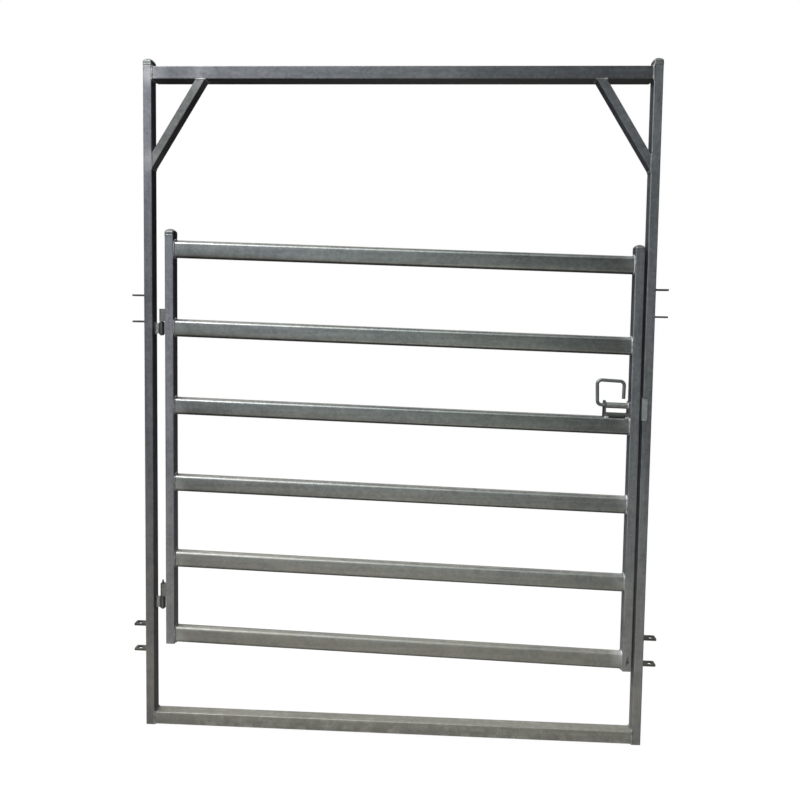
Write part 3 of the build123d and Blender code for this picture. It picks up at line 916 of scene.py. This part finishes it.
class GATE_OT_latch(bpy.types.Operator):
    """Finishes the slide bolt, its bracket, guide and keeper and lays their welds"""

    bl_idname = "gate.latch"
    bl_label = "Slide bolt latch"

    def execute(self, context):
        scene = context.scene
        finish, sizes = scene.gate_finish, scene.gate_welds
        dress(["slide_bolt"], worn_bar_material("bolt_bar", finish))
        # Painted shade: the bracket's low tone, and the high share below on bracket and guide tube, darken them for
        # the shade under the guide tube
        dress(["bolt_bracket"], zinc_material("bracket_zinc", finish, along_x, 0.66, 0.42, rubbed=0.35, below=0.85))
        dress(["bolt_guide_tube"], zinc_material("guide_zinc", finish, along_x, 1.15, 0.4, rubbed=0.35, below=0.95))
        dress(["latch_keeper"], zinc_material("keeper_zinc", finish, along_z, 1.05, 0.5, rubbed=0.2))
        place_mesh("latch_welds", self.bracket_beads(sizes), "leaf", weld_finish(finish))
        place_mesh("keeper_welds", self.keeper_beads(sizes), "frame", weld_finish(finish, 0.4))
        return {"FINISHED"}

    def bracket_beads(self, sizes):
        """Rings round the guide at both ears and the stile, and four beads under the bracket's long edges."""
        back = bolt_way()
        ahead = -back
        rise = np.array([-back[2], 0, back[0]]) * np.sign(back[0])
        low, high = box_of("bolt_guide_tube")
        radius = (high[1] - low[1]) / 2
        stile = box_of("latch_stile")[0][0]
        tail = low[0] + radius * abs(ahead[2])
        start = np.array([tail, 0, high[2] - radius])
        reach = (stile - tail) / ahead[0]
        ring_points = 72
        turn = np.linspace(0, 2 * math.pi, ring_points, endpoint=False)[:, None]
        spoke = np.cos(turn) * np.array([0, 1, 0]) + np.sin(turn) * rise
        rings = (
            (sizes.guide_step + sizes.ear_thickness, ahead, sizes.ear_leg),
            (reach - sizes.ear_thickness, back, sizes.ear_leg),
            (reach, back, sizes.tube_leg),
        )
        beads = [corner_bead(start + ahead * far + radius * spoke, spoke, way, sizes, seed, leg=leg)
                 for seed, (far, way, leg) in enumerate(rings, 1)]
        rail_low, rail_high = box_of("gate_rail_3")
        crown = rail_high[2] + (tail - rail_low[0]) * ahead[2] / ahead[0]
        fill, spread, seed_scale = 0.6, 0.35, 90
        foot = start - rise * ((start[2] - crown) * ahead[0] + fill * sizes.seat_leg)
        bracket_low, bracket_high = box_of("bolt_bracket")
        for y in (bracket_low[1], bracket_high[1]):
            down = unit(np.array([[0, spread * np.sign(y), -1.0]]))
            for near in (sizes.guide_step, reach - sizes.seat_length):
                path = line(foot + ahead * near, foot + ahead * (near + sizes.seat_length)) + np.array([0, y, 0])
                beads.append(corner_bead(path, rise, down, sizes, near * seed_scale, False, leg=sizes.seat_leg))
        return beads

    def keeper_beads(self, sizes):
        """Beads along the keeper's top, bottom and back edges on the post."""
        front_inset, back_inset, end_inset, back_seed = 0.006, 0.002, 0.004, 5
        low, high = box_of("latch_keeper")
        post_low, _ = box_of("latch_post")
        face, front = post_low[0], post_low[1] + front_inset
        beads = []
        for z, up in ((high[2], 1), (low[2], -1)):
            path = line((face, front, z), (face, high[1] - back_inset, z))
            beads.append(corner_bead(path, (0, 0, up), (-1, 0, 0), sizes, up, False))
        path = line((face, high[1], low[2] + end_inset), (face, high[1], high[2] - end_inset))
        beads.append(corner_bead(path, (0, 1, 0), (-1, 0, 0), sizes, back_seed, False))
        return beads


class GATE_OT_stage(bpy.types.Operator):
    """Sets the camera, the pale floor, the surround and the soft key"""

    bl_idname = "gate.stage"
    bl_label = "Studio"

    def execute(self, context):
        scene = context.scene
        stage = scene.gate_stage
        scene.view_settings.view_transform = "Standard"
        self.set_camera(scene, stage)
        self.lay_floor(stage)
        self.light(scene, stage)
        return {"FINISHED"}

    def set_camera(self, scene, stage):
        """The camera's right and ahead come from its turn and dip, up is square to both, and roll leans them."""
        turn, dip, roll = -stage.turn, -stage.dip, stage.roll
        right = Vector((math.cos(turn), -math.sin(turn), 0))
        ahead = Vector((math.sin(turn) * math.cos(dip), math.cos(turn) * math.cos(dip), math.sin(dip)))
        up = right.cross(ahead)
        leaned_right = right * math.cos(roll) + up * math.sin(roll)
        leaned_up = up * math.cos(roll) - right * math.sin(roll)
        data = bpy.data.cameras.new("photo_camera")
        data.lens, data.sensor_width = stage.lens, 36.0
        data.shift_x, data.shift_y = stage.shift_across, stage.shift_up
        camera = bpy.data.objects.new("photo_camera", data)
        axes = Matrix((leaned_right, leaned_up, -ahead)).transposed()
        camera.matrix_world = Matrix.Translation(Vector(stage.eye)) @ axes.to_4x4()
        scene.collection.objects.link(camera)
        scene.camera = camera

    def lay_floor(self, stage):
        """A round floor that bends up into a dome: flat out to the edge, then a quarter of a squared circle."""
        rows, columns, reach, middle, drop = 60, 96, 16.0, 1.1, 0.0005
        ring, around = np.linspace(0, 1, rows), np.linspace(0, 2 * math.pi, columns, endpoint=False)
        climb = np.clip((ring - 0.5) / 0.5, 0, 1) * math.pi / 2
        radius = np.where(ring < 0.5, 2 * reach * ring, reach * np.cos(climb) ** 0.5)
        height = reach * np.sin(climb) - drop
        places = np.stack([radius[:, None] * np.cos(around) + middle, radius[:, None] * np.sin(around),
                           np.broadcast_to(height[:, None], (rows, columns))], -1)
        material, paint = new_paint("studio_floor")
        place = paint.place()
        away = paint.number("ShaderNodeVectorMath", {"operation": "DISTANCE"}, {0: place, 1: (middle, 0.0, 0.0)}, 1)
        far = away.over(stage.floor_near, stage.floor_far)
        glow = paint.mix(far, (stage.floor_glow,) * 3, (1.0, 1.0, 1.0))
        shader = paint.add("ShaderNodeBsdfPrincipled", {}, {
            "Base Color": paint.mix(far, stage.floor, (0.0, 0.0, 0.0)), "Roughness": 0.9,
            "Specular IOR Level": 0.0, "Emission Color": glow, "Emission Strength": 1.0})
        paint.add("ShaderNodeOutputMaterial", {}, {0: shader.outputs[0]})
        quads, _ = grid_faces(rows, columns, False)
        floor = smooth_object("studio_floor", places.reshape(-1, 3), quads.tolist(), material)
        floor.visible_diffuse = floor.visible_glossy = floor.visible_shadow = False

    def light(self, scene, stage):
        """A surround that sums soft lobes, each a colour times the cosine to its middle to a power, and the key."""
        world = bpy.data.worlds.new("studio_surround")
        scene.world = world
        world.use_nodes = True
        paint = Paint(world.node_tree)
        way = paint.add("ShaderNodeTexCoord").outputs["Generated"]
        total = surround_base
        for middle, colour, power in surround:
            aim = paint.number("ShaderNodeVectorMath", {"operation": "DOT_PRODUCT"},
                               {0: way, 1: tuple(Vector(middle).normalized())}, 1)
            shade = paint.add("ShaderNodeVectorMath", {"operation": "SCALE"},
                              {0: colour, 3: aim.either(0.0) ** power}).outputs[0]
            total = paint.add("ShaderNodeVectorMath", {"operation": "ADD"}, {0: total, 1: shade}).outputs[0]
        glow = paint.add("ShaderNodeBackground", {}, {0: total, 1: stage.surround})
        paint.add("ShaderNodeOutputWorld", {}, {0: glow.outputs[0]})
        key = bpy.data.lights.new("key", "SUN")
        key.energy, key.angle = stage.sun, key_width
        lamp = bpy.data.objects.new("key", key)
        lamp.rotation_mode = "QUATERNION"
        lamp.rotation_quaternion = Vector(key_way).to_track_quat("-Z", "Y")
        scene.collection.objects.link(lamp)


steps = (
    GATE_OT_frame_tubes, GATE_OT_leaf_tubes, GATE_OT_caps, GATE_OT_lugs, GATE_OT_frame_welds, GATE_OT_rail_welds,
    GATE_OT_hinges, GATE_OT_latch, GATE_OT_stage,
)
groups = {
    "gate_welds": GateWeldSizes, "gate_rails": GateRailSizes, "gate_caps": GateCapSizes, "gate_finish": GateFinish,
    "gate_stage": GateStage,
}


class GATE_PT_sidebar(bpy.types.Panel):
    """Lists the gate's steps and their sizes"""

    bl_idname = "GATE_PT_sidebar"
    bl_label = "Cattle yard gate"
    bl_space_type = "VIEW_3D"
    bl_region_type = "UI"
    bl_category = "Gate"

    def draw(self, context):
        for step in steps:
            self.layout.operator(step.bl_idname)
        for group in groups:
            column = self.layout.column(heading=group.replace("_", " "))
            values = getattr(context.scene, group)
            for name in values.bl_rna.properties.keys():
                if name not in ("rna_type", "name"):
                    column.prop(values, name)


classes = (*groups.values(), *steps, GATE_PT_sidebar)


def register():
    """Adds the classes and hangs the groups of sizes on the scene."""
    for each in classes:
        bpy.utils.register_class(each)
    for name, group in groups.items():
        setattr(bpy.types.Scene, name, PointerProperty(type=group))


def unregister():
    """Takes away what register adds, in the other order."""
    for name in groups:
        delattr(bpy.types.Scene, name)
    for each in reversed(classes):
        bpy.utils.unregister_class(each)


def main():
    """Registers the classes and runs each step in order."""
    register()
    for step in steps:
        family, name = step.bl_idname.split(".")
        getattr(getattr(bpy.ops, family), name)()


if __name__ == "__main__":
    main()
